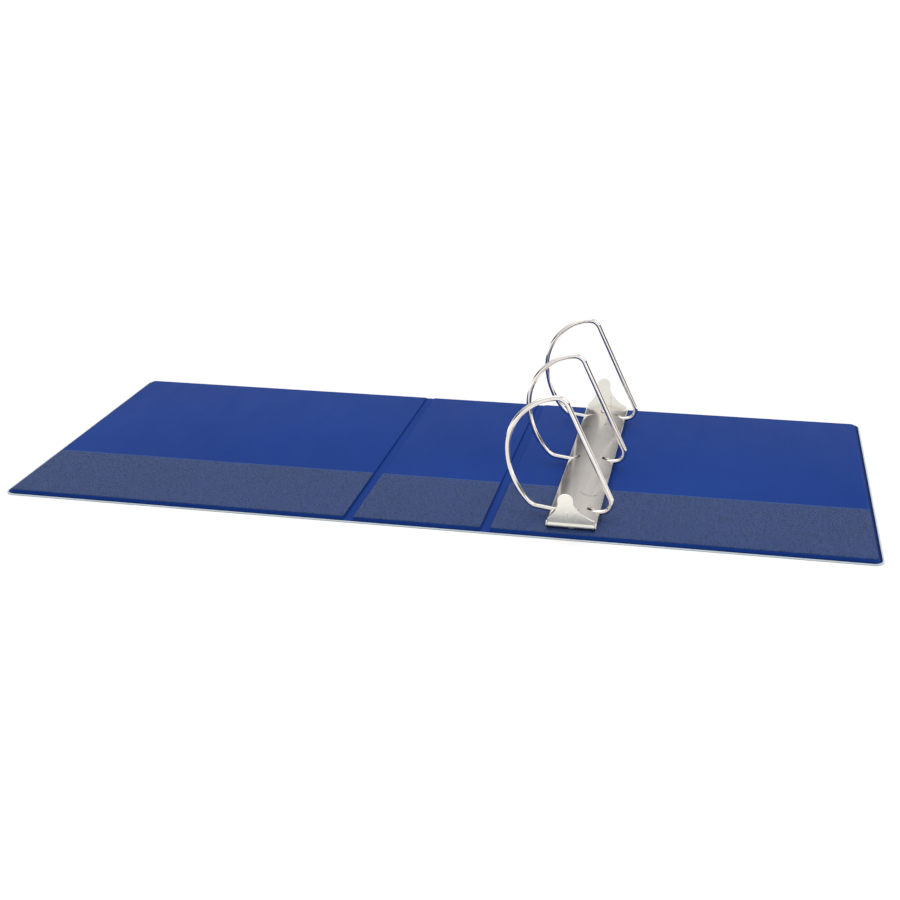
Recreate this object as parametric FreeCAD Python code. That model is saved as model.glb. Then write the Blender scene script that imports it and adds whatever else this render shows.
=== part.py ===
import FreeCAD, Part
import math
import os

# Ring binder lying open and flat.  The origin is the centre of its underside.
# +X runs from the front cover to the back cover, +Y along the spine, +Z up.
# Millimetres throughout.

V = FreeCAD.Vector
X_AXIS = V(1, 0, 0)
Y_AXIS = V(0, 1, 0)
Z_AXIS = V(0, 0, 1)
quarter_turn = 90.0
half_turn = 180.0
full_turn = 360.0
cut_margin = 1.0                # how far a cutting tool runs past what it cuts

# Covers and spine
cover_length = 298.0            # along the spine, over the clear rim
cover_width = 297.5             # hinge line to fore edge, over the clear rim
rim = 1.2                       # clear overlay standing out past the vinyl
weld_border = 2.6               # flat welded seam round each board
corner_radius = 8.0
tray_corner_radius = 5.0
overlay_thickness = 0.3
skin_thickness = 0.5
board_thickness = 1.8
liner_thickness = 0.5
board_clearance = 0.2
web_clearance = 0.3             # between the two halves of a folded hinge web
hinge_clearance = 0.35          # between two panels folded square

# Inside pockets
pocket_height = 95.0
pocket_sheet = 0.4
pocket_gap = 0.3
pocket_seam = 5.0

# Rings
ring_pitch = 108.0
wire_radius = 2.1
ring_height = 98.4              # wire centre at the crown, above the mechanism's base
crown_radius = 43.0             # curved side of the ring, above its widest place
belly_radius = 67.0             # curved side below its widest place
belly_end_angle = 222.0         # where the curved side runs straight to its foot
curve_overhang = 15.0           # from the housing's edge to the corner of that foot
apex_radius = 9.0
leg_lean = 25.2                 # degrees from upright, straight side
leg_overhang = 13.2             # from the housing's edge to the corner of the leg's foot
leg_foot_radius = 8.5
curve_foot_radius = 12.0
tip_angle = 103.0               # where the two halves of a ring meet
tip_gap = 0.2
tongue_radius = 1.0
tongue_length = 1.2
socket_clearance = 0.4
foot_slope = 8.0                # degrees, wire lying in to the hinge plate
foot_height = 5.5               # wire centre where it crosses the housing's edge
foot_reach = 9.0                # wire length inside the housing
ring_opening = 5.75             # degrees that each half swings

# Mechanism
housing_length = 262.0
housing_width = 39.0
housing_sheet = 0.8
housing_crown = 9.5
shoulder_height = 5.2
shoulder_fillet = 1.4
lip_height = 1.05
lip_width = 2.1
notch_clearance = 0.35
notch_floor = 2.75
slot_reach = 0.9
bead_rise = 0.5                 # embossed U near each end
bead_width = 2.2
bead_half_width = 6.5
bead_offset = 7.5               # to the straight side of the housing's centre
bead_start = 30.0               # from the rivet, closed end of the U
bead_length = 38.0
cheek_length = 8.5
cheek_height = 6.2
blade_thickness = 0.9
blade_axis_height = 2.6
blade_edge_clearance = 0.35
blade_centre_gap = 0.2
blade_end_clearance = 0.35
stake_radius = 1.3
stake_head_radius = 2.1
stake_head_height = 0.4
stake_inset = 5.2
mechanism_y = -5.0
cover_gap = 0.85                # open rings to the spine and to the closed front cover

# Rivets that hold the mechanism to the back cover
rivet_offset = 17.0             # from each housing end
rivet_radius = 2.0
rivet_head_radius = 4.0
rivet_head_height = 1.2
rivet_head_round = 0.7
rivet_foot_radius = 5.0
rivet_clearance = 0.1
spacer_radius = 2.9
spacer_clearance = 0.6

# Opening levers
lever_sheet = 1.0
lever_lean = 18.0
lever_length = 31.0
lever_tab_width = 12.0
lever_tab_offset = -4.0
lever_shoulder = 5.5
lever_neck = 21.0
lever_side_clearance = 0.5
knuckle_radius = 1.9
knuckle_height = 3.4
lever_pin_radius = 1.0
lever_pin_clearance = 0.05
claw_half_width = 2.0
claw_reach = 2.9
claw_sheet = 0.7
claw_drop = 3.1
claw_root_radius = 1.65         # where the claw springs from the knuckle
claw_root_front = -35.5
claw_root_back = -122.0
claw_heel = 0.55
dimple_radius = 2.6
dimple_depth = 0.35
rib_radius = 1.0
rib_length = 10.0
rib_spacing = 6.5
rib_rise = 0.5
flare_fullness = 0.4            # 0.5 is a straight flare from neck to shoulder

# Levels through a cover
skin_bottom = overlay_thickness
board_bottom = skin_bottom + skin_thickness
board_top = board_bottom + board_thickness
liner_top = board_top + liner_thickness
pocket_top = liner_top + pocket_gap + pocket_sheet
weld_top = board_bottom + liner_thickness
hinge_height = weld_top / 2
panel_depth = pocket_top - hinge_height
hinge_half = panel_depth + hinge_clearance
web_inset = weld_top - hinge_height + web_clearance
half_length = cover_length / 2
pocket_edge = pocket_height - half_length
tray_inset = rim + weld_border

# Mechanism section, in (u, w): u across from its centre, w up from its base
half_width = housing_width / 2
inner_half = half_width - housing_sheet
blade_pivot_u = inner_half - blade_edge_clearance - blade_thickness / 2
blade_length = blade_pivot_u - blade_centre_gap
full_opening = math.radians(ring_opening)


def turned(point, pivot, angle):
    du = point[0] - pivot[0]
    dw = point[1] - pivot[1]
    u = pivot[0] + du * math.cos(angle) - dw * math.sin(angle)
    w = pivot[1] + du * math.sin(angle) + dw * math.cos(angle)
    return u, w


def on_circle(centre, radius, degrees):
    angle = math.radians(degrees)
    return centre[0] + radius * math.cos(angle), centre[1] + radius * math.sin(angle)


# Ring outline: the corner of each foot fixes the big curve and the straight leg,
# and the apex bend joins the two
lean = math.radians(leg_lean)
leg_direction = (math.sin(lean), -math.cos(lean))
leg_outward = (math.cos(lean), math.sin(lean))
foot_rise = math.tan(math.radians(foot_slope))
leg_corner = (half_width + leg_overhang, foot_height + leg_overhang * foot_rise)
curve_corner = (-half_width - curve_overhang, foot_height + curve_overhang * foot_rise)


def belly_place():
    angle = math.radians(belly_end_angle)
    w = ring_height - crown_radius
    along = (curve_corner[1] - w - belly_radius * math.sin(angle)) / math.cos(angle)
    return curve_corner[0] - belly_radius * math.cos(angle) + along * math.sin(angle), w


belly_centre = belly_place()
crown_centre = (belly_centre[0] + crown_radius - belly_radius, belly_centre[1])


def apex_centre():
    beside = (leg_corner[0] - apex_radius * leg_outward[0], leg_corner[1] - apex_radius * leg_outward[1])
    du = beside[0] - crown_centre[0]
    dw = beside[1] - crown_centre[1]
    along = du * leg_direction[0] + dw * leg_direction[1]
    reach = crown_radius - apex_radius
    rise = along + math.sqrt(along ** 2 - du ** 2 - dw ** 2 + reach ** 2)
    return beside[0] - rise * leg_direction[0], beside[1] - rise * leg_direction[1]


apex = apex_centre()
apex_start = math.degrees(math.atan2(apex[1] - crown_centre[1], apex[0] - crown_centre[0]))

# How far the open rings reach decides the spine's width and the mechanism's place
left_pivot = (-blade_pivot_u, blade_axis_height)
right_pivot = (blade_pivot_u, blade_axis_height)
open_crown = turned(crown_centre, left_pivot, full_opening)
open_apex = turned(apex, right_pivot, -full_opening)
open_tip = turned(on_circle(crown_centre, crown_radius, tip_angle), right_pivot, -full_opening)
open_reach = crown_radius + wire_radius - open_crown[0]
open_top = max(open_apex[1] + apex_radius, open_tip[1]) + wire_radius
hinge_x = (open_top + cover_gap + 2 * panel_depth) / 2
mechanism_x = hinge_x + panel_depth + cover_gap + open_reach
mechanism_z = pocket_top
fore_edge = hinge_x + cover_width

ring_places = [("near", -ring_pitch), ("middle", 0.0), ("far", ring_pitch)]
lever_pivot_y = housing_length / 2
blade_half_length = lever_pivot_y - knuckle_radius - blade_end_clearance
rivet_places = [-(housing_length / 2 - rivet_offset), housing_length / 2 - rivet_offset]
stake_u = half_width - foot_reach + stake_inset / 2


def place(u, v, w):
    return V(mechanism_x + u, mechanism_y + v, mechanism_z + w)


def slab(x0, x1, y0, y1, z0, z1):
    return Part.makeBox(x1 - x0, y1 - y0, z1 - z0, V(x0, y0, z0))


def mechanism_slab(u0, u1, v0, v1, w0, w1):
    return Part.makeBox(u1 - u0, v1 - v0, w1 - w0, place(u0, v0, w0))


def post(radius, v, z0, z1):
    return Part.makeCylinder(radius, z1 - z0, V(mechanism_x, mechanism_y + v, z0))


def round_fore_corners(solid, side, edge_x, radius):
    upright = []
    for edge in solid.Edges:
        ends = [vertex.Point for vertex in edge.Vertexes]
        if abs(ends[0].z - ends[1].z) > abs(ends[0].x - ends[1].x) + abs(ends[0].y - ends[1].y):
            if abs(ends[0].x - side * edge_x) < rim / 2:
                upright.append(edge)
    return solid.makeFillet(radius, upright)


# side is -1 for the front cover, 0 for the spine and 1 for the back cover
def panel_range(side, hinge_inset, edge_inset):
    if side == 0:
        return -hinge_x + hinge_inset, hinge_x - hinge_inset
    inner = hinge_x + hinge_inset
    outer = fore_edge - edge_inset
    return (inner, outer) if side > 0 else (-outer, -inner)


def sheet(side, hinge_inset, edge_inset, bottom, top, radius):
    x0, x1 = panel_range(side, hinge_inset, edge_inset)
    half = half_length - edge_inset
    solid = slab(x0, x1, -half, half, bottom, top)
    if side == 0:
        return solid
    return round_fore_corners(solid, side, fore_edge - edge_inset, radius)


def make_overlay(side):
    return sheet(side, web_inset, 0, 0, skin_bottom, corner_radius)


def make_skin(side):
    return sheet(side, web_inset, rim, skin_bottom, board_bottom, corner_radius - rim)


def make_board(side):
    hinge_inset = hinge_half + liner_thickness + board_clearance
    edge_inset = tray_inset + liner_thickness + board_clearance
    radius = tray_corner_radius - liner_thickness - board_clearance
    return sheet(side, hinge_inset, edge_inset, board_bottom, board_top, radius)


def make_liner(side):
    flange = sheet(side, web_inset, rim, board_bottom, weld_top, corner_radius - rim)
    tray = sheet(side, hinge_half, tray_inset, board_bottom, liner_top, tray_corner_radius)
    hinge_inset = hinge_half + liner_thickness
    edge_inset = tray_inset + liner_thickness
    radius = tray_corner_radius - liner_thickness
    hollow = sheet(side, hinge_inset, edge_inset, board_bottom, board_top, radius)
    return flange.fuse(tray).cut(hollow).removeSplitter()


def make_pocket(side):
    panel = sheet(side, hinge_half, tray_inset, liner_top, pocket_top, tray_corner_radius)
    band = slab(-fore_edge, fore_edge, -half_length, pocket_edge, liner_top, pocket_top)
    x0, x1 = panel_range(side, hinge_half + pocket_seam, tray_inset + pocket_seam)
    if side > 0:
        x0 = mechanism_x + half_width + pocket_seam
    low = -half_length + tray_inset + pocket_seam
    mouth = slab(x0, x1, low, pocket_edge, liner_top, liner_top + pocket_gap)
    return panel.common(band).cut(mouth)


def drill(solid, radius):
    for v in rivet_places:
        solid = solid.cut(post(radius, v, 0, pocket_top))
    return solid


def section_face(points, crown, edge):
    low_left, high_left, high_right, low_right = points
    arch = Part.Arc(place(*high_left), place(0, edge, crown), place(*high_right)).toShape()
    sides = [Part.makeLine(place(*low_left), place(*high_left)),
             arch,
             Part.makeLine(place(*high_right), place(*low_right)),
             Part.makeLine(place(*low_right), place(*low_left))]
    return Part.Face(Part.Wire(sides))


def arch_solid(half, bottom, shoulder, crown, fillet, v0, v1):
    corners = [(-half, v0, bottom), (-half, v0, shoulder), (half, v0, shoulder), (half, v0, bottom)]
    solid = section_face(corners, crown, v0).extrude(V(0, v1 - v0, 0))
    ridge_z = mechanism_z + shoulder
    ridges = []
    for edge in solid.Edges:
        ends = [vertex.Point for vertex in edge.Vertexes]
        if len(ends) == 2 and abs(ends[0].y - ends[1].y) > (v1 - v0) / 2:
            if abs(ends[0].z - ridge_z) < housing_sheet / 2:
                ridges.append(edge)
    return solid.makeFillet(fillet, ridges)


def bead_outline(direction, half, v_closed, v_open):
    low, high = sorted((direction * (v_closed - half), direction * v_open))
    body = mechanism_slab(bead_offset - half, bead_offset + half, low, high, lip_height,
                          housing_crown + bead_rise)
    nose = Part.makeCylinder(half, housing_crown + bead_rise - lip_height,
                             place(bead_offset, direction * (v_closed - half), lip_height), Z_AXIS)
    return body.fuse(nose)


# A step pressed up out of the arch, following its curve
def make_bead(direction):
    v_closed = rivet_places[1] - bead_start
    v_open = v_closed - bead_length
    inside = bead_half_width - bead_width
    outline = bead_outline(direction, bead_half_width, v_closed, v_open)
    core = bead_outline(direction, inside, v_closed - bead_width, v_open - bead_width)
    raised = arch_solid(half_width, lip_height, shoulder_height + bead_rise, housing_crown + bead_rise,
                        shoulder_fillet, -blade_half_length, blade_half_length)
    return outline.cut(core).common(raised)


def make_housing():
    end = blade_half_length
    outer = arch_solid(half_width, lip_height, shoulder_height, housing_crown, shoulder_fillet, -end, end)
    inner_fillet = shoulder_fillet - housing_sheet
    inner = arch_solid(inner_half, 0, shoulder_height - housing_sheet, housing_crown - housing_sheet,
                       inner_fillet, -end - housing_sheet, end + housing_sheet)
    for direction in (-1, 1):
        outer = outer.fuse(make_bead(direction))
    solid = outer.cut(inner)
    lip_top = lip_height + housing_sheet
    for side in (-1, 1):
        lip_in = side * (inner_half - lip_width)
        lip_out = side * half_width
        solid = solid.fuse(mechanism_slab(min(lip_in, lip_out), max(lip_in, lip_out), -end, end,
                                          lip_height, lip_top))
    for side in (-1, 1):
        for direction in (-1, 1):
            solid = solid.fuse(make_cheek(side, direction))
    solid = solid.removeSplitter()
    for name, v in ring_places:
        for side in (-1, 1):
            solid = solid.cut(ring_notch(side, v))
    for v in rivet_places:
        solid = solid.cut(post(rivet_radius + rivet_clearance, v, mechanism_z, mechanism_z + housing_crown))
    for direction in (-1, 1):
        base = place(-half_width, direction * lever_pivot_y, knuckle_height)
        solid = solid.cut(Part.makeCylinder(lever_pin_radius, housing_width, base, X_AXIS))
    return solid


# The cheeks stand on the cover beyond each end of the arch and carry the lever's pin
def make_cheek(side, direction):
    u0, u1 = sorted((side * inner_half, side * half_width))
    v_foot = direction * (blade_half_length - cheek_length)
    v_arch = direction * blade_half_length
    v_end = direction * (lever_pivot_y + knuckle_radius)
    foot = mechanism_slab(u0, u1, min(v_foot, v_arch), max(v_foot, v_arch), 0, lip_height + housing_sheet)
    upright = mechanism_slab(u0, u1, min(v_arch, v_end), max(v_arch, v_end), 0, knuckle_height)
    eye = Part.makeCylinder(cheek_height - knuckle_height, housing_sheet,
                            place(u0, direction * lever_pivot_y, knuckle_height), X_AXIS)
    return foot.fuse(upright).fuse(eye)


def ring_notch(side, v):
    inner = half_width - foot_reach - slot_reach
    u0, u1 = sorted((side * inner, side * (half_width + cut_margin)))
    half = wire_radius + notch_clearance
    return mechanism_slab(u0, u1, v - half, v + half, notch_floor, housing_crown + cut_margin)


def make_blade(side):
    half = blade_thickness / 2
    length = blade_length
    plate = mechanism_slab(-blade_pivot_u, -blade_pivot_u + length, -blade_half_length, blade_half_length,
                           blade_axis_height - half, blade_axis_height + half)
    edge = Part.makeCylinder(half, 2 * blade_half_length,
                             place(-blade_pivot_u, -blade_half_length, blade_axis_height), Y_AXIS)
    blade = plate.fuse(edge).removeSplitter()
    blade.rotate(place(-blade_pivot_u, 0, blade_axis_height), Y_AXIS, ring_opening / 2)
    if side > 0:
        blade.rotate(place(0, 0, 0), Z_AXIS, half_turn)
    for v in rivet_places:
        blade = blade.cut(post(spacer_radius + spacer_clearance, v, 0, mechanism_z + housing_crown))
    return blade


def wire_line(start, end, v):
    return Part.makeLine(place(start[0], v, start[1]), place(end[0], v, end[1]))


def wire_arc(centre, radius, start, end, v):
    a = on_circle(centre, radius, start)
    b = on_circle(centre, radius, (start + end) / 2)
    c = on_circle(centre, radius, end)
    return Part.Arc(place(a[0], v, a[1]), place(b[0], v, b[1]), place(c[0], v, c[1])).toShape()


def meet(point_a, direction_a, point_b, direction_b):
    cross = direction_a[0] * direction_b[1] - direction_a[1] * direction_b[0]
    du = point_b[0] - point_a[0]
    dw = point_b[1] - point_a[1]
    along = (du * direction_b[1] - dw * direction_b[0]) / cross
    return point_a[0] + along * direction_a[0], point_a[1] + along * direction_a[1]


# A straight run into a bend and out along the foot, as three edges
def bend_to_foot(start, run_angle, foot_point, foot_angle, foot_end, radius, v):
    run = (math.cos(math.radians(run_angle)), math.sin(math.radians(run_angle)))
    foot = (math.cos(math.radians(foot_angle)), math.sin(math.radians(foot_angle)))
    corner = meet(start, run, foot_point, foot)
    turn = foot_angle - run_angle
    tangent = radius * math.tan(math.radians(abs(turn)) / 2)
    bend_in = (corner[0] - tangent * run[0], corner[1] - tangent * run[1])
    bend_out = (corner[0] + tangent * foot[0], corner[1] + tangent * foot[1])
    sign = math.copysign(1, turn)
    centre = (bend_in[0] - sign * radius * run[1], bend_in[1] + sign * radius * run[0])
    start_angle = run_angle - sign * quarter_turn
    end_angle = foot_angle - sign * quarter_turn
    return [wire_line(start, bend_in, v),
            wire_arc(centre, radius, start_angle, end_angle, v),
            wire_line(bend_out, foot_end, v)]


def foot_points(side):
    slope = math.radians(foot_slope)
    edge = (side * half_width, foot_height)
    end = (side * (half_width - foot_reach * math.cos(slope)), foot_height - foot_reach * math.sin(slope))
    return edge, end


def wire_solid(edges, start, tangent_degrees, v):
    angle = math.radians(tangent_degrees)
    normal = V(math.cos(angle), 0, math.sin(angle))
    section = Part.Wire(Part.makeCircle(wire_radius, place(start[0], v, start[1]), normal))
    return Part.Wire(edges).makePipeShell([section], True, False)


def stake_shank(side, v):
    low = blade_axis_height - blade_thickness
    return Part.makeCylinder(stake_radius, foot_height - low, place(side * stake_u, v, low), Z_AXIS)


def stake_head(side, v):
    low = blade_axis_height - blade_thickness - stake_head_height
    return Part.makeCylinder(stake_head_radius, stake_head_height + blade_thickness,
                             place(side * stake_u, v, low), Z_AXIS)


def seat_on_blade(wire, side, v, blade):
    head = stake_head(side, v).cut(blade)
    return wire.cut(blade).fuse(head).fuse(stake_shank(side, v)).removeSplitter()


def tongue(radius, length, v):
    tip = on_circle(crown_centre, crown_radius, tip_angle)
    along = math.radians(tip_angle + quarter_turn)
    direction = V(math.cos(along), 0, math.sin(along))
    start = place(tip[0], v, tip[1]) - direction * length
    return Part.makeCylinder(radius, 2 * length, start, direction)


def make_curved_half(v, blade):
    gap = math.degrees(tip_gap / 2 / crown_radius)
    start_angle = tip_angle + gap
    start = on_circle(crown_centre, crown_radius, start_angle)
    tangent_point = on_circle(belly_centre, belly_radius, belly_end_angle)
    edge, end = foot_points(-1)
    edges = [wire_arc(crown_centre, crown_radius, start_angle, half_turn, v),
             wire_arc(belly_centre, belly_radius, half_turn, belly_end_angle, v)]
    edges += bend_to_foot(tangent_point, belly_end_angle + quarter_turn, edge, full_turn - foot_slope, end,
                          curve_foot_radius, v)
    wire = wire_solid(edges, start, start_angle + quarter_turn, v)
    wire = wire.cut(tongue(tongue_radius + socket_clearance, tongue_length + socket_clearance, v))
    return seat_on_blade(wire, -1, v, blade)


def make_straight_half(v, blade):
    gap = math.degrees(tip_gap / 2 / crown_radius)
    start_angle = tip_angle - gap
    start = on_circle(crown_centre, crown_radius, start_angle)
    apex_end = on_circle(apex, apex_radius, leg_lean)
    edge, end = foot_points(1)
    edges = [wire_arc(crown_centre, crown_radius, start_angle, apex_start, v),
             wire_arc(apex, apex_radius, apex_start, leg_lean, v)]
    edges += bend_to_foot(apex_end, leg_lean - quarter_turn, edge, foot_slope - half_turn, end,
                          leg_foot_radius, v)
    wire = wire_solid(edges, start, start_angle - quarter_turn, v)
    wire = wire.fuse(tongue(tongue_radius, tongue_length, v)).removeSplitter()
    return seat_on_blade(wire, 1, v, blade)


def make_rivets(housing):
    rivets = []
    for v in rivet_places:
        head_low = mechanism_z + housing_crown - housing_sheet
        head = post(rivet_head_radius, v, head_low, mechanism_z + housing_crown + rivet_head_height)
        top_rim = [edge for edge in head.Edges if edge.BoundBox.ZMin > mechanism_z + housing_crown]
        head = head.makeFillet(rivet_head_round, top_rim).cut(housing)
        shank = post(rivet_radius, v, skin_bottom, mechanism_z + housing_crown)
        foot = post(rivet_foot_radius, v, skin_bottom, board_bottom)
        rivets.append(head.fuse(shank).fuse(foot).removeSplitter())
    return Part.makeCompound(rivets)


def make_spacers(housing):
    spacers = []
    for v in rivet_places:
        low = pocket_top if mechanism_y + v < pocket_edge else liner_top
        tube = post(spacer_radius, v, low, mechanism_z + housing_crown - housing_sheet / 2)
        bore = post(rivet_radius + rivet_clearance, v, low, mechanism_z + housing_crown)
        spacers.append(tube.cut(bore).cut(housing))
    return Part.makeCompound(spacers)


def make_pins():
    pins = []
    for direction in (-1, 1):
        base = place(-half_width, direction * lever_pivot_y, knuckle_height)
        pins.append(Part.makeCylinder(lever_pin_radius, housing_width, base, X_AXIS))
    return Part.makeCompound(pins)


def lever_outline():
    half_base = inner_half - lever_side_clearance
    half_tab = lever_tab_width / 2
    left = lever_tab_offset - half_tab
    right = lever_tab_offset + half_tab
    round_start = lever_length - half_tab
    flare_height = lever_shoulder + flare_fullness * (lever_neck - lever_shoulder)
    left_flare = V(left - flare_fullness * (half_base + left), 0, flare_height)
    right_flare = V(right + flare_fullness * (half_base - right), 0, flare_height)
    corners = [V(half_base, 0, 0), V(-half_base, 0, 0), V(-half_base, 0, lever_shoulder)]
    neck_left = V(left, 0, lever_neck)
    neck_right = V(right, 0, lever_neck)
    shoulder_right = V(half_base, 0, lever_shoulder)
    tab_left = V(left, 0, round_start)
    tab_right = V(right, 0, round_start)
    tab_top = V(lever_tab_offset, 0, lever_length)
    return Part.Wire([Part.makeLine(corners[0], corners[1]),
                      Part.makeLine(corners[1], corners[2]),
                      Part.Arc(corners[2], left_flare, neck_left).toShape(),
                      Part.makeLine(neck_left, tab_left),
                      Part.Arc(tab_left, tab_top, tab_right).toShape(),
                      Part.makeLine(tab_right, neck_right),
                      Part.Arc(neck_right, right_flare, shoulder_right).toShape(),
                      Part.makeLine(shoulder_right, corners[0])])


def rib(u, y, radius):
    low = V(u, y, knuckle_radius + rib_radius)
    bar = Part.makeCylinder(radius, rib_length, low, Z_AXIS)
    return bar.fuse(Part.makeSphere(radius, low)).fuse(Part.makeSphere(radius, low + V(0, 0, rib_length)))


def make_claw():
    top = claw_sheet - claw_drop
    points = [on_circle((0, 0), claw_root_radius, claw_root_front), (claw_reach / 2, top), (claw_reach, top),
              (claw_reach, -claw_drop), (claw_heel, -claw_drop),
              on_circle((0, 0), claw_root_radius, claw_root_back)]
    corners = [V(-claw_half_width, y, z) for y, z in points]
    outline = Part.makePolygon(corners + [corners[0]])
    return Part.Face(outline).extrude(V(2 * claw_half_width, 0, 0))


# Built about its own pin, then stood in its place; the far lever is the near one mirrored
def make_lever(direction):
    half_base = inner_half - lever_side_clearance
    half_sheet = lever_sheet / 2
    sheet_metal = Part.Face(lever_outline()).extrude(V(0, lever_sheet, 0))
    sheet_metal.translate(V(0, -half_sheet, 0))
    outer_y = -half_sheet + rib_radius - rib_rise
    inner_y = half_sheet + rib_radius - rib_rise
    for u in (-rib_spacing / 2, rib_spacing / 2):
        sheet_metal = sheet_metal.fuse(rib(u, outer_y, rib_radius)).cut(rib(u, inner_y, rib_radius))
    for y in (-half_sheet, half_sheet - dimple_depth):
        dimple = Part.makeCylinder(dimple_radius, dimple_depth,
                                   V(lever_tab_offset, y, lever_length - lever_tab_width / 2), Y_AXIS)
        sheet_metal = sheet_metal.cut(dimple)
    sheet_metal.rotate(V(0, 0, 0), X_AXIS, lever_lean)
    knuckle_end = V(-half_base, 0, 0)
    knuckle = Part.makeCylinder(knuckle_radius, 2 * half_base, knuckle_end, X_AXIS)
    bore = Part.makeCylinder(lever_pin_radius + lever_pin_clearance, 2 * half_base, knuckle_end, X_AXIS)
    lever = sheet_metal.fuse(knuckle).fuse(make_claw()).cut(bore).removeSplitter()
    if direction > 0:
        lever = lever.mirror(V(0, 0, 0), Y_AXIS)
    lever.translate(place(0, direction * lever_pivot_y, knuckle_height))
    return lever


def build():
    parts = {}
    for name, side in (("front", -1), ("spine", 0), ("back", 1)):
        parts[name + "_clear_overlay"] = make_overlay(side)
        parts[name + "_outer_skin"] = make_skin(side)
        parts[name + "_board"] = make_board(side)
        parts[name + "_liner"] = make_liner(side)
        parts[name + "_pocket"] = make_pocket(side)
    for name in ("back_board", "back_liner", "back_pocket"):
        parts[name] = drill(parts[name], rivet_radius + rivet_clearance)
    parts["back_outer_skin"] = drill(parts["back_outer_skin"], rivet_foot_radius + rivet_clearance)

    housing = make_housing()
    parts["mechanism_housing"] = housing
    parts["mechanism_rivets"] = make_rivets(housing)
    parts["rivet_spacers"] = make_spacers(housing)
    parts["lever_pins"] = make_pins()

    left_blade = make_blade(-1)
    right_blade = make_blade(1)
    for place_name, v in ring_places:
        parts["ring_curved_half_" + place_name] = make_curved_half(v, left_blade)
        parts["ring_straight_half_" + place_name] = make_straight_half(v, right_blade)
    for place_name, v in ring_places:
        left_blade = left_blade.cut(stake_shank(-1, v))
        right_blade = right_blade.cut(stake_shank(1, v))
    parts["left_hinge_blade"] = left_blade
    parts["right_hinge_blade"] = right_blade
    parts["near_lever"] = make_lever(-1)
    parts["far_lever"] = make_lever(1)
    return parts


os.makedirs("parts", exist_ok=True)
for node, shape in build().items():
    shape.exportStep("parts/" + node + ".step")

print("hinge axes x", -hinge_x, hinge_x, "z", hinge_height)
print("mechanism centre", mechanism_x, mechanism_y, mechanism_z)
print("blade pivots u", blade_pivot_u, "w", blade_axis_height)
print("lever pivots v", lever_pivot_y, "w", knuckle_height)
print("overall", 2 * fore_edge, cover_length)
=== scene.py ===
import math

import bmesh
import bpy
from mathutils import Matrix, Vector


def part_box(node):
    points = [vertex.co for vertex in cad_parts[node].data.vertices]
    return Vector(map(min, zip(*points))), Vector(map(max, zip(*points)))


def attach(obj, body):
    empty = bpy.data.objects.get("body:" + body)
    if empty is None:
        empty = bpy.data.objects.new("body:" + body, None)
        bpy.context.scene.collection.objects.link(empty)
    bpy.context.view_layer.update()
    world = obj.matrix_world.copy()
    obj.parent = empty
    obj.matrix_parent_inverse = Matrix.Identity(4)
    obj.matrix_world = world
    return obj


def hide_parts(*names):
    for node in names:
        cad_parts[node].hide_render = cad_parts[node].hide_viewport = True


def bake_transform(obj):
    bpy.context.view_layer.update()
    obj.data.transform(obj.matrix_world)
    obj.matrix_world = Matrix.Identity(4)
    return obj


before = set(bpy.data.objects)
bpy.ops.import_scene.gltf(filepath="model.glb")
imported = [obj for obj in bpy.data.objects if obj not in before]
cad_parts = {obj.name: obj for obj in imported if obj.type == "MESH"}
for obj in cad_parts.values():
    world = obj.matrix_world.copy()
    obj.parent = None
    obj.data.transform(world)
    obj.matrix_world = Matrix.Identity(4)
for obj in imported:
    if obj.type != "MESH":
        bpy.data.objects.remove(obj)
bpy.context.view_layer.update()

bl_info = {
    "name": "Ring Binder",
    "version": (1, 0, 0),
    "blender": (4, 5, 0),
    "location": "3D View > Sidebar > Binder",
    "description": "Dresses the packed ring binder: vinyl covers, pockets, clear film and nickel metalwork",
    "category": "Add Mesh",
}

# Places read from the frame.  Lengths in metres.
SIDES = ("front", "spine", "back")
BODY_OF = {"front": "front_cover", "spine": "spine", "back": "back_cover"}
MM = 0.001
FILM_GAP = 0.04 * MM            # between the clear film and the vinyl over it
FOLD_COLUMNS = 14               # strips across each piece that folds with a hinge
LIP_RISE = 0.75 * MM            # how far the clear lip stands above the film
HINGE_SIDE_KEEP = 0.9           # share of each inset that is given back beside a hinge
SEAM_WALL = MM / 5              # run of each side wall of the pressed seam
SHOULDER_STEPS = 5              # bands of faces in the rounding over the board's edge
CORNER_SEGMENTS = 10            # edges round each fore corner
WEB_SAG = MM / 4                # dip of a hinge web on each side of its middle
FILM_CORNER_EXTRA = 1.2 * MM    # what the film's corner radius adds to the vinyl's
HINGE_FILM_DROP = MM / 50       # how far the film at a hinge lies under its neighbours
POCKET_INSET = MM / 2           # between a pocket sheet and the edge of its tray
POCKET_CORNER = 4 * MM
MOUTH_WALL = MM / 8             # sheet left round the open mouth of a pocket
MOUTH_DROP = MM / 10            # how far the mouth's opening lies below the middle
EDGE_ROUND = MM / 4             # rounding along a pocket's upper edges
CLOSE = MM / 10                 # an edge or face this near a place counts as at it
NARROW = 3 * MM                 # a face less broad than this belongs to a rim
STEEP = 0.5                     # a face whose normal rises less than this is a side
FACING = 0.99                   # share of a unit normal that counts as facing that way
CAMERA_PLACE = (0.2321, -1.0708, 0.4404)
CAMERA_TURN = 0.217             # radians about the vertical
CAMERA_TILT = 0.376             # radians below the horizon
CAMERA_ROLL = -0.011            # radians about the line of sight
SENSOR_WIDTH = 36
SKY = (0.92, 0.92, 0.92)


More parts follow.
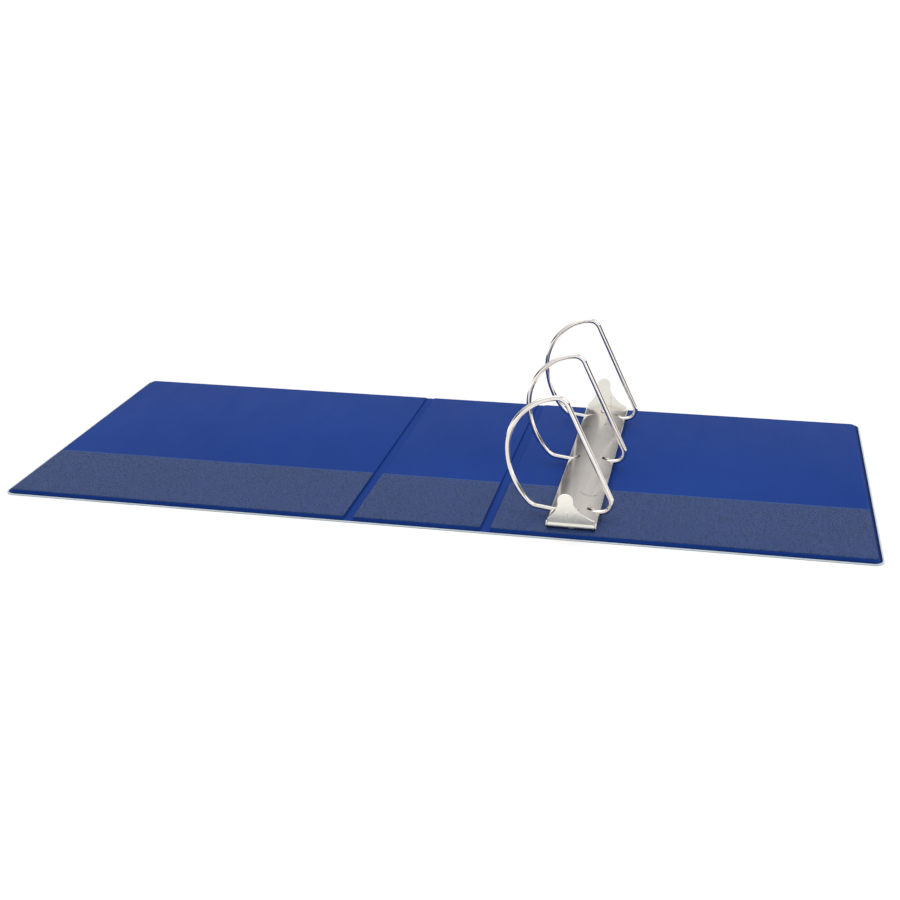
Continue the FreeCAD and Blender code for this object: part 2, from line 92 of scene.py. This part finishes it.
class BinderSizes(bpy.types.PropertyGroup):
    """Sizes of the vinyl work that the frame leaves plain"""
    corner_radius: bpy.props.FloatProperty(
        name="Corner radius", description="Radius of each cover's fore corners",
        default=6.8 * MM, min=0, unit="LENGTH")
    seam_lip: bpy.props.FloatProperty(
        name="Seam lip", description="Plain vinyl outside the pressed seam",
        default=0.5 * MM, min=0, unit="LENGTH")
    seam_width: bpy.props.FloatProperty(
        name="Seam width", description="Width of the pressed weld seam",
        default=1.0 * MM, min=0, unit="LENGTH")
    seam_depth: bpy.props.FloatProperty(
        name="Seam depth", description="How far the weld seam is pressed in",
        default=0.2 * MM, min=0, unit="LENGTH")
    shoulder: bpy.props.FloatProperty(
        name="Shoulder", description="Rounding of the vinyl over the board's edge",
        default=0.9 * MM, min=0, unit="LENGTH")
    film_rim: bpy.props.FloatProperty(
        name="Film rim", description="Width of the clear lip round each cover",
        default=0.95 * MM, min=0, unit="LENGTH")
    mouth_lip: bpy.props.FloatProperty(
        name="Mouth lip", description="Width of the smooth edge of a pocket's mouth",
        default=1.3 * MM, min=0, unit="LENGTH")
    mouth_depth: bpy.props.FloatProperty(
        name="Mouth depth", description="How far the pocket's mouth is modelled open",
        default=9 * MM, min=0, unit="LENGTH")


class BinderColours(bpy.types.PropertyGroup):
    """Colours of the binder's finishes"""
    vinyl: bpy.props.FloatVectorProperty(
        name="Vinyl", description="Cover vinyl", subtype="COLOR", size=3,
        default=(0.0095, 0.042, 0.228), min=0, max=1)
    pocket: bpy.props.FloatVectorProperty(
        name="Pocket", description="Grained pocket vinyl", subtype="COLOR", size=3,
        default=(0.026, 0.062, 0.205), min=0, max=1)
    nickel: bpy.props.FloatVectorProperty(
        name="Nickel", description="Nickel plate", subtype="COLOR", size=3,
        default=(0.74, 0.70, 0.665), min=0, max=1)
    # Painted light: the levers' colour is a much lighter copy of the nickel plate, so that the levers read
    # bright
    lever: bpy.props.FloatVectorProperty(
        name="Lever nickel", description="Paler nickel plate of the levers", subtype="COLOR", size=3,
        default=(1.0, 0.955, 0.86), min=0, max=1)
    card: bpy.props.FloatVectorProperty(
        name="Board", description="Grey chipboard inside the covers", subtype="COLOR", size=3,
        default=(0.36, 0.31, 0.25), min=0, max=1)
    film: bpy.props.FloatVectorProperty(
        name="Film", description="Clear overlay film", subtype="COLOR", size=3,
        default=(0.80, 0.90, 1.0), min=0, max=1)


# ---- material building -------------------------------------------------------

def new_material(name):
    material = bpy.data.materials.new(name)
    material.use_nodes = True
    return material, material.node_tree.nodes, material.node_tree.links


def object_noise(nodes, links, scale, detail, stretch=(1, 1, 1)):
    coordinates = nodes.new("ShaderNodeTexCoord")
    mapping = nodes.new("ShaderNodeMapping")
    mapping.inputs["Scale"].default_value = stretch
    links.new(coordinates.outputs["Object"], mapping.inputs["Vector"])
    noise = nodes.new("ShaderNodeTexNoise")
    noise.inputs["Scale"].default_value = scale
    noise.inputs["Detail"].default_value = detail
    links.new(mapping.outputs["Vector"], noise.inputs["Vector"])
    return noise


def ramp(nodes, links, source, low, high, dark, light):
    node = nodes.new("ShaderNodeValToRGB")
    node.color_ramp.elements[0].position = low
    node.color_ramp.elements[1].position = high
    node.color_ramp.elements[0].color = (*dark, 1)
    node.color_ramp.elements[1].color = (*light, 1)
    links.new(source, node.inputs["Fac"])
    return node.outputs["Color"]


def spread(nodes, links, source, low, high):
    node = nodes.new("ShaderNodeMapRange")
    node.inputs["To Min"].default_value = low
    node.inputs["To Max"].default_value = high
    links.new(source, node.inputs["Value"])
    return node.outputs["Result"]


def bump(nodes, links, height, strength, distance, below=None):
    node = nodes.new("ShaderNodeBump")
    node.inputs["Strength"].default_value = strength
    node.inputs["Distance"].default_value = distance
    links.new(height, node.inputs["Height"])
    if below is not None:
        links.new(below, node.inputs["Normal"])
    return node.outputs["Normal"]


def tint(colour, factor):
    return tuple(min(1.0, channel * factor) for channel in colour)


# Smooth calendered vinyl: a fine haircell, soft waves and faint rubbing
def vinyl_material(name, colour, roughness):
    material, nodes, links = new_material(name)
    shader = nodes["Principled BSDF"]
    broad = object_noise(nodes, links, scale=7, detail=3)
    colour_out = ramp(nodes, links, broad.outputs["Fac"], low=0.3, high=0.7,
                      dark=tint(colour, 0.93), light=tint(colour, 1.08))
    links.new(colour_out, shader.inputs["Base Color"])
    rub = object_noise(nodes, links, scale=60, detail=6, stretch=(1, 0.25, 1))
    links.new(spread(nodes, links, rub.outputs["Fac"], roughness - 0.06, roughness + 0.08),
              shader.inputs["Roughness"])
    waves = object_noise(nodes, links, scale=14, detail=2)
    grain = object_noise(nodes, links, scale=2600, detail=2)
    soft = bump(nodes, links, waves.outputs["Fac"], strength=0.12, distance=0.0012)
    links.new(bump(nodes, links, grain.outputs["Fac"], strength=0.22, distance=0.00008, below=soft),
              shader.inputs["Normal"])
    shader.inputs["Specular IOR Level"].default_value = 0.04
    return material


# Embossed leather grain: rounded cells with creases between them
def grained_material(name, colour):
    material, nodes, links = new_material(name)
    shader = nodes["Principled BSDF"]
    bend = object_noise(nodes, links, scale=420, detail=2)
    coordinates = nodes.new("ShaderNodeTexCoord")
    mix = nodes.new("ShaderNodeMixRGB")
    mix.inputs["Fac"].default_value = 0.0025
    links.new(coordinates.outputs["Object"], mix.inputs["Color1"])
    links.new(bend.outputs["Color"], mix.inputs["Color2"])
    cells = nodes.new("ShaderNodeTexVoronoi")
    cells.feature = "DISTANCE_TO_EDGE"
    cells.inputs["Scale"].default_value = 560
    links.new(mix.outputs["Color"], cells.inputs["Vector"])
    creases = nodes.new("ShaderNodeMapRange")
    creases.interpolation_type = "SMOOTHSTEP"
    creases.inputs["From Max"].default_value = 0.16
    links.new(cells.outputs["Distance"], creases.inputs["Value"])
    # Painted shade and light: the grain's creases are darkened to 0.55 of the colour and the cells' tops
    # lightened, as shade falling in the creases
    colour_out = ramp(nodes, links, creases.outputs["Result"], low=0.0, high=1.0,
                      dark=tint(colour, 0.55), light=tint(colour, 1.18))
    broad = object_noise(nodes, links, scale=11, detail=3)
    shade = nodes.new("ShaderNodeMixRGB")
    shade.blend_type = "MULTIPLY"
    shade.inputs["Fac"].default_value = 1.0
    links.new(colour_out, shade.inputs["Color1"])
    links.new(ramp(nodes, links, broad.outputs["Fac"], low=0.3, high=0.7,
                   dark=(0.90, 0.90, 0.90), light=(1, 1, 1)), shade.inputs["Color2"])
    links.new(shade.outputs["Color"], shader.inputs["Base Color"])
    links.new(spread(nodes, links, creases.outputs["Result"], 0.62, 0.44), shader.inputs["Roughness"])
    fine = object_noise(nodes, links, scale=3200, detail=2)
    base = bump(nodes, links, creases.outputs["Result"], strength=1.0, distance=0.0004)
    links.new(bump(nodes, links, fine.outputs["Fac"], strength=0.2, distance=0.00005, below=base),
              shader.inputs["Normal"])
    shader.inputs["Specular IOR Level"].default_value = 0.30
    return material


# Plated metal: mirror bright, with polishing lines, smears and small dull spots
def nickel_material(name, colour, roughness, lines, along, metal=1.0):
    material, nodes, links = new_material(name)
    shader = nodes["Principled BSDF"]
    shader.inputs["Metallic"].default_value = metal
    smear = object_noise(nodes, links, scale=38, detail=4)
    spots = object_noise(nodes, links, scale=900, detail=3)
    colour_out = ramp(nodes, links, smear.outputs["Fac"], low=0.25, high=0.75,
                      dark=tint(colour, 0.94), light=tint(colour, 1.04))
    links.new(colour_out, shader.inputs["Base Color"])
    dull = nodes.new("ShaderNodeMath")
    dull.operation = "MULTIPLY"
    links.new(smear.outputs["Fac"], dull.inputs[0])
    links.new(spots.outputs["Fac"], dull.inputs[1])
    links.new(spread(nodes, links, dull.outputs["Value"], roughness * 0.7, roughness * 2.0),
              shader.inputs["Roughness"])
    polish = object_noise(nodes, links, scale=900, detail=2, stretch=along)
    waves = object_noise(nodes, links, scale=60, detail=2)
    soft = bump(nodes, links, waves.outputs["Fac"], strength=0.04, distance=0.0004)
    links.new(bump(nodes, links, polish.outputs["Fac"], strength=lines, distance=0.00004, below=soft),
              shader.inputs["Normal"])
    return material


def board_material(colour):
    material, nodes, links = new_material("grey_chipboard")
    shader = nodes["Principled BSDF"]
    fibres = object_noise(nodes, links, scale=700, detail=6, stretch=(1, 0.3, 1))
    links.new(ramp(nodes, links, fibres.outputs["Fac"], low=0.35, high=0.7,
                   dark=tint(colour, 0.7), light=tint(colour, 1.15)), shader.inputs["Base Color"])
    links.new(bump(nodes, links, fibres.outputs["Fac"], strength=0.4, distance=0.0001),
              shader.inputs["Normal"])
    shader.inputs["Roughness"].default_value = 0.9
    return material


# Clear flexible film, faintly milky and bluish where it is thick
def film_material(name, colour, see_through):
    material, nodes, links = new_material(name)
    shader = nodes["Principled BSDF"]
    haze = object_noise(nodes, links, scale=25, detail=4)
    links.new(ramp(nodes, links, haze.outputs["Fac"], low=0.3, high=0.7,
                   dark=tint(colour, 0.96), light=colour), shader.inputs["Base Color"])
    links.new(spread(nodes, links, haze.outputs["Fac"], 0.03, 0.10), shader.inputs["Roughness"])
    ripples = object_noise(nodes, links, scale=18, detail=2)
    links.new(bump(nodes, links, ripples.outputs["Fac"], strength=0.15, distance=0.001),
              shader.inputs["Normal"])
    shader.inputs["Transmission Weight"].default_value = see_through
    shader.inputs["IOR"].default_value = 1.32
    return material


# ---- modelling helpers -------------------------------------------------------

def clear_selection():
    if bpy.context.object and bpy.context.object.mode != "OBJECT":
        bpy.ops.object.mode_set(mode="OBJECT")
    bpy.ops.object.select_all(action="DESELECT")


# A box between two corners, its place in its mesh, left in edit mode
def start_box(name, low, high):
    clear_selection()
    size = [high[i] - low[i] for i in range(3)]
    middle = [(high[i] + low[i]) / 2 for i in range(3)]
    bpy.ops.mesh.primitive_cube_add(size=1, location=middle, scale=size)
    piece = bpy.context.object
    piece.name = name
    piece.data.name = name
    bpy.ops.object.transform_apply(location=True, rotation=True, scale=True)
    bpy.ops.object.mode_set(mode="EDIT")
    bpy.ops.mesh.select_all(action="DESELECT")
    return piece


def pick(piece, kind, test):
    bpy.ops.mesh.select_all(action="DESELECT")
    mode = {"verts": "VERT", "edges": "EDGE", "faces": "FACE"}[kind]
    bpy.ops.mesh.select_mode(type=mode)
    mesh = bmesh.from_edit_mesh(piece.data)
    chosen = 0
    for item in getattr(mesh, kind):
        hit = bool(test(item))
        item.select_set(hit)
        chosen += hit
    mesh.select_flush_mode()
    bmesh.update_edit_mesh(piece.data)
    if not chosen:
        raise RuntimeError(piece.name + ": nothing to pick among its " + kind)


def finish_piece(piece, body, materials, smooth_angle=35):
    bpy.ops.object.mode_set(mode="OBJECT")
    for material in materials:
        piece.data.materials.append(material)
    clear_selection()
    piece.select_set(True)
    bpy.context.view_layer.objects.active = piece
    bpy.ops.object.shade_smooth_by_angle(angle=math.radians(smooth_angle))
    if body:
        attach(piece, body)
    return piece


# The spine has no fore edge, so only the covers' corners are rounded
def round_fore_corners(piece, side, left, right, radius):
    if side == "spine":
        return
    fore_x = left if side == "front" else right

    def upright_at_fore(edge):
        a, b = (vert.co for vert in edge.verts)
        return abs(a.z - b.z) > abs(a.y - b.y) + abs(a.x - b.x) and abs(a.x - fore_x) < CLOSE
    pick(piece, "edges", upright_at_fore)
    bpy.ops.mesh.bevel(offset=radius, segments=CORNER_SEGMENTS, profile=0.5, affect="EDGES")


# The hinge sides of a panel, each with the direction that leads inward
def hinge_sides(side, left, right):
    found = []
    if side != "front":
        found.append((left, 1))
    if side != "back":
        found.append((right, -1))
    return found


def pick_top(piece, low_z):
    pick(piece, "faces", lambda f: f.normal.z > FACING and f.calc_center_median().z > low_z)


def cut_across(point, normal):
    bpy.ops.mesh.select_all(action="SELECT")
    bpy.ops.mesh.bisect(plane_co=point, plane_no=normal)


def fold_places(x0, x1):
    return [x0 + (x1 - x0) * k / FOLD_COLUMNS for k in range(1, FOLD_COLUMNS)]


def cut_fold_columns(x0, x1):
    for x in fold_places(x0, x1):
        cut_across((x, 0, 0), (1, 0, 0))


def second_material(piece, test):
    for face in piece.data.polygons:
        if test(face.center):
            face.material_index = 1


# One inset of the selected top face; on the hinge sides it only takes a hair's width
def step_in(piece, width, rise, hinge_edges):
    bpy.ops.mesh.inset(thickness=width, depth=0)
    mesh = bmesh.from_edit_mesh(piece.data)
    mesh.verts.index_update()
    rim = {vert.index for vert in mesh.verts if vert.select}
    for edge_x, inward in hinge_edges:
        pick(piece, "verts", lambda v: v.index in rim and abs(v.co.x - edge_x) < width + MM / 2)
        bpy.ops.transform.translate(value=(-inward * width * HINGE_SIDE_KEEP, 0, 0))
    pick(piece, "verts", lambda v: v.index in rim)
    bpy.ops.transform.translate(value=(0, 0, rise))
    pick(piece, "faces", lambda f: all(vert.index in rim for vert in f.verts))


def settings():
    return bpy.context.scene.binder_sizes, bpy.context.scene.binder_colours


def material_once(maker, name, *values):
    return bpy.data.materials.get(name) or maker(name, *values)


def cover_vinyl():
    colours = settings()[1]
    return material_once(vinyl_material, "cover_vinyl", tuple(colours.vinyl), 0.48)


# Where one panel lies: its tray edges, its skin and its levels
def panel_places(side):
    skin_low, skin_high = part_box(side + "_outer_skin")
    pocket_low, pocket_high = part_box(side + "_pocket")
    board_low, board_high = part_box(side + "_board")
    film_low, film_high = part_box(side + "_clear_overlay")
    liner_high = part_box(side + "_liner")[1]
    left = pocket_low.x if side != "front" else skin_low.x
    right = pocket_high.x if side != "back" else skin_high.x
    liner_thickness = liner_high.z - board_high.z
    return {
        "left": left, "right": right, "near": skin_low.y, "far": skin_high.y,
        "tray_near": pocket_low.y, "bottom": skin_low.z, "weld_top": board_low.z + liner_thickness,
        "tray_top": liner_high.z, "pocket_top": pocket_high.z, "pocket_far": pocket_high.y,
        "pocket_left": pocket_low.x, "pocket_right": pocket_high.x,
        "film_low": film_low, "film_high": film_high,
    }


# ---- operators, one per group of like pieces --------------------------------

class BINDER_OT_cover_shells(bpy.types.Operator):
    """Vinyl sealed over each board, with a pressed weld seam and a rounded shoulder"""
    bl_idname = "binder.cover_shells"
    bl_label = "Cover Shells"

    def execute(self, context):
        for side in SIDES:
            self.make_shell(side)
        return {"FINISHED"}

    def make_shell(self, side):
        sizes, colours = settings()
        place = panel_places(side)
        piece = start_box(side + "_vinyl_shell", (place["left"], place["near"], place["bottom"] + FILM_GAP),
                          (place["right"], place["far"], place["weld_top"]))
        hinge_edges = hinge_sides(side, place["left"], place["right"])
        round_fore_corners(piece, side, place["left"], place["right"], sizes.corner_radius)
        pick_top(piece, place["bottom"] + CLOSE)
        border = place["tray_near"] - place["near"]
        rest = border - sizes.seam_lip - sizes.seam_width - 2 * SEAM_WALL
        step_in(piece, sizes.seam_lip, 0, hinge_edges)
        step_in(piece, SEAM_WALL, -sizes.seam_depth, hinge_edges)
        step_in(piece, sizes.seam_width, 0, hinge_edges)
        step_in(piece, SEAM_WALL, sizes.seam_depth, hinge_edges)
        step_in(piece, rest, 0, hinge_edges)
        height = place["tray_top"] - place["weld_top"]
        done = (0, 0)
        for k in range(1, SHOULDER_STEPS + 1):
            angle = math.radians(90) * k / SHOULDER_STEPS
            now = (sizes.shoulder * (1 - math.cos(angle)), height * math.sin(angle))
            bpy.ops.mesh.inset(thickness=now[0] - done[0], depth=0)
            bpy.ops.transform.translate(value=(0, 0, now[1] - done[1]))
            done = now
        # Painted shade: the vinyl out to the pressed seam, round the covers' outer edges, is a copy of the
        # cover vinyl darkened to 0.35
        painted_edge_shade = material_once(vinyl_material, "weld_vinyl", tint(colours.vinyl, 0.35), 0.35)
        finish_piece(piece, BODY_OF[side], [cover_vinyl(), painted_edge_shade])
        reach = sizes.seam_lip + sizes.seam_width + SEAM_WALL

        def near_outer_edge(centre):
            spans = [centre.y - place["near"], place["far"] - centre.y]
            if side == "front":
                spans.append(centre.x - place["left"])
            if side == "back":
                spans.append(place["right"] - centre.x)
            return min(spans) < reach
        second_material(piece, near_outer_edge)
        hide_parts(side + "_liner", side + "_outer_skin")


class BINDER_OT_hinge_webs(bpy.types.Operator):
    """Welded vinyl strips between the boards, cut across into columns and sagging a little in the middle"""
    bl_idname = "binder.hinge_webs"
    bl_label = "Hinge Webs"

    def execute(self, context):
        self.make_web("front_hinge_web", "front", "spine")
        self.make_web("back_hinge_web", "spine", "back")
        return {"FINISHED"}

    def make_web(self, name, left_side, right_side):
        left = panel_places(left_side)
        right = panel_places(right_side)
        x0 = left["right"]
        x1 = right["left"]
        piece = start_box(name, (x0, left["near"], left["bottom"] + FILM_GAP),
                          (x1, left["far"], left["weld_top"]))
        cut_fold_columns(x0, x1)
        middle = (x0 + x1) / 2
        half = (x1 - x0) / 2
        for x in fold_places(x0, x1):
            reach = abs(x - middle) / half
            pick(piece, "verts", lambda v: abs(v.co.x - x) < CLOSE and v.co.z > left["bottom"] + CLOSE)
            bpy.ops.transform.translate(value=(0, 0, -WEB_SAG * math.sin(math.pi * reach) ** 2))
        finish_piece(piece, None, [cover_vinyl()], 60)
        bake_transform(piece)


class BINDER_OT_pockets(bpy.types.Operator):
    """Grained pocket sheets welded along the near edge, each with an open mouth"""
    bl_idname = "binder.pockets"
    bl_label = "Pockets"

    def execute(self, context):
        colours = settings()[1]
        grain = material_once(grained_material, "pocket_grain", tuple(colours.pocket))
        edge = material_once(vinyl_material, "pocket_edge", tint(colours.pocket, 1.35), 0.4)
        for side in SIDES:
            self.make_pocket(side, grain, edge)
        return {"FINISHED"}

    def make_pocket(self, side, grain, edge):
        sizes = settings()[0]
        place = panel_places(side)
        low = (place["pocket_left"] + POCKET_INSET, place["tray_near"] + POCKET_INSET, place["tray_top"])
        high = (place["pocket_right"] - POCKET_INSET, place["pocket_far"], place["pocket_top"])
        piece = start_box(side + "_pocket_sheet", low, high)
        if side != "spine":
            fore_x = low[0] if side == "front" else high[0]

            def near_fore(e):
                a, b = (vert.co for vert in e.verts)
                upright = abs(a.z - b.z) > CLOSE and abs(a.y - b.y) < CLOSE
                return upright and abs(a.x - fore_x) < CLOSE and a.y < low[1] + MM
            pick(piece, "edges", near_fore)
            bpy.ops.mesh.bevel(offset=POCKET_CORNER, segments=8, profile=0.5, affect="EDGES")
        cut_across((0, high[1] - sizes.mouth_lip, 0), (0, 1, 0))
        pick(piece, "faces", lambda f: f.normal.y > FACING)
        bpy.ops.mesh.inset(thickness=MOUTH_WALL, depth=0)
        bpy.ops.transform.translate(value=(0, 0, -MOUTH_DROP))
        bpy.ops.mesh.extrude_region_move(TRANSFORM_OT_translate={"value": (0, -sizes.mouth_depth, 0)})
        pick(piece, "edges", lambda e: all(abs(v.co.z - high[2]) < CLOSE for v in e.verts)
             and any(f.normal.z < STEEP for f in e.link_faces))
        bpy.ops.mesh.bevel(offset=EDGE_ROUND, segments=3, profile=0.5, affect="EDGES")
        finish_piece(piece, BODY_OF[side], [grain, edge], 50)
        second_material(piece, lambda centre: centre.y > high[1] - sizes.mouth_lip)
        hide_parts(side + "_pocket")


class BINDER_OT_clear_overlays(bpy.types.Operator):
    """Clear film under each panel, with a lip standing up round the vinyl's edge"""
    bl_idname = "binder.clear_overlays"
    bl_label = "Clear Overlays"

    def execute(self, context):
        colours = settings()[1]
        film = material_once(film_material, "clear_film", tint(colours.film, 1.2), 1.0)
        lip = material_once(film_material, "film_lip", tuple(colours.film), 0.35)
        for side in SIDES:
            self.make_film(side, film, lip)
        self.make_hinge_film("front_hinge_film", "front", "spine", film, lip)
        self.make_hinge_film("back_hinge_film", "spine", "back", film, lip)
        return {"FINISHED"}

    def make_hinge_film(self, name, left_side, right_side, film, lip):
        rim = settings()[0].film_rim
        left, right = panel_places(left_side), panel_places(right_side)
        x0, x1 = left["right"], right["left"]
        low, high = left["film_low"], left["film_high"]
        piece = start_box(name, (x0, low.y, low.z), (x1, high.y, high.z - HINGE_FILM_DROP))
        cut_fold_columns(x0, x1)
        for end_y in (low.y + rim, high.y - rim):
            cut_across((0, end_y, 0), (0, 1, 0))
        pick(piece, "faces", lambda f: f.normal.z > FACING
             and not low.y + rim < f.calc_center_median().y < high.y - rim)
        bpy.ops.mesh.extrude_region_move(TRANSFORM_OT_translate={"value": (0, 0, LIP_RISE)})
        finish_piece(piece, None, [film, lip], 40)
        second_material(piece, lambda centre: centre.z > high.z + CLOSE)
        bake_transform(piece)

    def make_film(self, side, film, lip):
        sizes = settings()[0]
        place = panel_places(side)
        low, high = place["film_low"].copy(), place["film_high"].copy()
        if side != "front":
            low.x = place["left"]
        if side != "back":
            high.x = place["right"]
        piece = start_box(side + "_clear_film", low, high)
        hinge_edges = hinge_sides(side, low.x, high.x)
        round_fore_corners(piece, side, low.x, high.x, sizes.corner_radius + FILM_CORNER_EXTRA)
        pick_top(piece, low.z + CLOSE)
        step_in(piece, sizes.film_rim, 0, hinge_edges)

        def outer_ring(face):
            middle = face.calc_center_median()
            breadth = face.calc_area() / max(edge.calc_length() for edge in face.edges)
            beside_hinge = any(abs(middle.x - edge_x) < MM for edge_x, inward in hinge_edges)
            return face.normal.z > FACING and breadth < NARROW and not beside_hinge
        pick(piece, "faces", outer_ring)
        bpy.ops.mesh.extrude_region_move(TRANSFORM_OT_translate={"value": (0, 0, LIP_RISE)})
        finish_piece(piece, BODY_OF[side], [film, lip], 40)
        second_material(piece, lambda centre: centre.z > high.z + CLOSE)
        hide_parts(side + "_clear_overlay")


class BINDER_OT_metalwork(bpy.types.Operator):
    """Nickel plate on the housing, blades, rings, levers, rivets and pins, and board inside the covers"""
    bl_idname = "binder.metalwork"
    bl_label = "Metalwork and Boards"

    def execute(self, context):
        colours = settings()[1]
        nickel = tuple(colours.nickel)
        plate = nickel_material("housing_nickel", nickel, roughness=0.20, lines=0.10, along=(1, 0.06, 1))
        wire = nickel_material("ring_nickel", tint(nickel, 1.08), roughness=0.07, lines=0.05,
                               along=(1, 1, 0.2))
        # Painted light: the levers take the lighter lever colour, which brightens them beyond the plate
        lever = nickel_material("lever_nickel", tuple(colours.lever), roughness=0.42, lines=0.12,
                                along=(1, 1, 0.15), metal=0.7)
        blade = nickel_material("blade_nickel", tint(nickel, 0.85), roughness=0.25, lines=0.2,
                                along=(1, 0.05, 1))
        rivet = nickel_material("rivet_nickel", nickel, roughness=0.15, lines=0.08, along=(1, 1, 1))
        board = board_material(tuple(colours.card))
        finishes = {"mechanism_housing": plate, "mechanism_rivets": rivet, "rivet_spacers": rivet,
                    "lever_pins": rivet, "left_hinge_blade": blade, "right_hinge_blade": blade,
                    "near_lever": lever, "far_lever": lever}
        for name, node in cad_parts.items():
            finish = finishes.get(name)
            if name.startswith("ring_"):
                finish = wire
            if name.endswith("_board"):
                finish = board
            if finish:
                node.data.materials.clear()
                node.data.materials.append(finish)
        return {"FINISHED"}


class BINDER_OT_stage(bpy.types.Operator):
    """White floor, soft studio light and the camera"""
    bl_idname = "binder.stage"
    bl_label = "Stage"

    floor_size: bpy.props.FloatProperty(
        name="Floor size", description="Side of the square floor", default=60.0, unit="LENGTH")
    lens: bpy.props.FloatProperty(
        name="Lens", description="Focal length in millimetres", default=53.5)

    def execute(self, context):
        self.make_floor()
        self.make_lights()
        self.make_camera()
        return {"FINISHED"}

    def make_floor(self):
        clear_selection()
        bpy.ops.mesh.primitive_plane_add(size=self.floor_size, location=(0, 0, 0))
        floor = bpy.context.object
        floor.name = "floor"
        material, nodes, links = new_material("studio_white")
        shader = nodes["Principled BSDF"]
        shader.inputs["Base Color"].default_value = (0.91, 0.91, 0.91, 1)
        shader.inputs["Roughness"].default_value = 0.9
        shader.inputs["Specular IOR Level"].default_value = 0.1
        # Painted light: the floor glows, barely within 0.45 m of its middle and at full strength from 1.6 m
        # out, which whitens the backdrop
        shader.inputs["Emission Color"].default_value = (1, 1, 1, 1)
        coordinates = nodes.new("ShaderNodeTexCoord")
        distance = nodes.new("ShaderNodeVectorMath")
        distance.operation = "LENGTH"
        links.new(coordinates.outputs["Object"], distance.inputs[0])
        glow = spread(nodes, links, distance.outputs["Value"], 0.02, 1.0)
        glow.node.inputs["From Min"].default_value = 0.45
        glow.node.inputs["From Max"].default_value = 1.6
        links.new(glow, shader.inputs["Emission Strength"])
        floor.data.materials.append(material)

    def make_lights(self):
        world = bpy.data.worlds.new("studio")
        bpy.context.scene.world = world
        world.use_nodes = True
        nodes, links = world.node_tree.nodes, world.node_tree.links
        background = nodes["Background"]
        background.inputs["Strength"].default_value = 1.0
        coordinates = nodes.new("ShaderNodeTexCoord")
        split = nodes.new("ShaderNodeSeparateXYZ")
        links.new(coordinates.outputs["Generated"], split.inputs["Vector"])
        # A dim band low behind the binder gives the wires and the vinyl something to reflect
        band = ramp(nodes, links, split.outputs["Z"], low=0.12, high=0.60, dark=SKY, light=SKY)
        for height, level in ((0.16, 0.05), (0.27, 0.05), (0.38, 0.72)):
            stop = band.node.color_ramp.elements.new(height)
            stop.color = (level, level, level, 1)
        side = nodes.new("ShaderNodeMapRange")
        side.inputs["From Min"].default_value = -0.95
        side.inputs["From Max"].default_value = -0.55
        links.new(split.outputs["Y"], side.inputs["Value"])
        mix = nodes.new("ShaderNodeMixRGB")
        mix.inputs["Color1"].default_value = (*SKY, 1)
        links.new(side.outputs["Result"], mix.inputs["Fac"])
        links.new(band, mix.inputs["Color2"])
        links.new(mix.outputs["Color"], background.inputs["Color"])
        softbox = 1.8
        for name, place, power in (("key", (-0.6, 0.5, 2.2), 12), ("fill", (1.8, -0.5, 1.7), 13)):
            clear_selection()
            bpy.ops.object.light_add(type="AREA", location=place)
            light = bpy.context.object
            light.name = name
            light.data.size = softbox
            light.data.energy = power
            light.rotation_euler = (-Vector(place)).to_track_quat("-Z", "Y").to_euler()

    def make_camera(self):
        clear_selection()
        bpy.ops.object.camera_add(location=CAMERA_PLACE)
        camera = bpy.context.object
        turn = Matrix.Rotation(CAMERA_TURN, 4, "Z")
        tilt = Matrix.Rotation(math.radians(90) - CAMERA_TILT, 4, "X")
        roll = Matrix.Rotation(CAMERA_ROLL, 4, "Z")
        camera.rotation_euler = (turn @ tilt @ roll).to_euler()
        camera.data.lens = self.lens
        camera.data.sensor_width = SENSOR_WIDTH
        camera.data.clip_end = 200
        bpy.context.scene.camera = camera
        bpy.context.scene.view_settings.view_transform = "Standard"


class BINDER_PT_panel(bpy.types.Panel):
    """Lists the binder's operators, sizes and colours"""
    bl_label = "Ring Binder"
    bl_idname = "BINDER_PT_panel"
    bl_space_type = "VIEW_3D"
    bl_region_type = "UI"
    bl_category = "Binder"

    def draw(self, context):
        for operator in OPERATORS:
            self.layout.operator(operator.bl_idname)
        for group in (context.scene.binder_sizes, context.scene.binder_colours):
            for name in group.__annotations__:
                self.layout.prop(group, name)


OPERATORS = (BINDER_OT_cover_shells, BINDER_OT_hinge_webs, BINDER_OT_pockets, BINDER_OT_clear_overlays,
             BINDER_OT_metalwork, BINDER_OT_stage)
CLASSES = (BinderSizes, BinderColours) + OPERATORS + (BINDER_PT_panel,)


def register():
    for cls in CLASSES:
        bpy.utils.register_class(cls)
    bpy.types.Scene.binder_sizes = bpy.props.PointerProperty(type=BinderSizes)
    bpy.types.Scene.binder_colours = bpy.props.PointerProperty(type=BinderColours)


def unregister():
    del bpy.types.Scene.binder_colours
    del bpy.types.Scene.binder_sizes
    for cls in reversed(CLASSES):
        bpy.utils.unregister_class(cls)


def main():
    register()
    bpy.ops.binder.cover_shells()
    bpy.ops.binder.hinge_webs()
    bpy.ops.binder.pockets()
    bpy.ops.binder.clear_overlays()
    bpy.ops.binder.metalwork()
    bpy.ops.binder.stage()


if __name__ == "__main__":
    main()
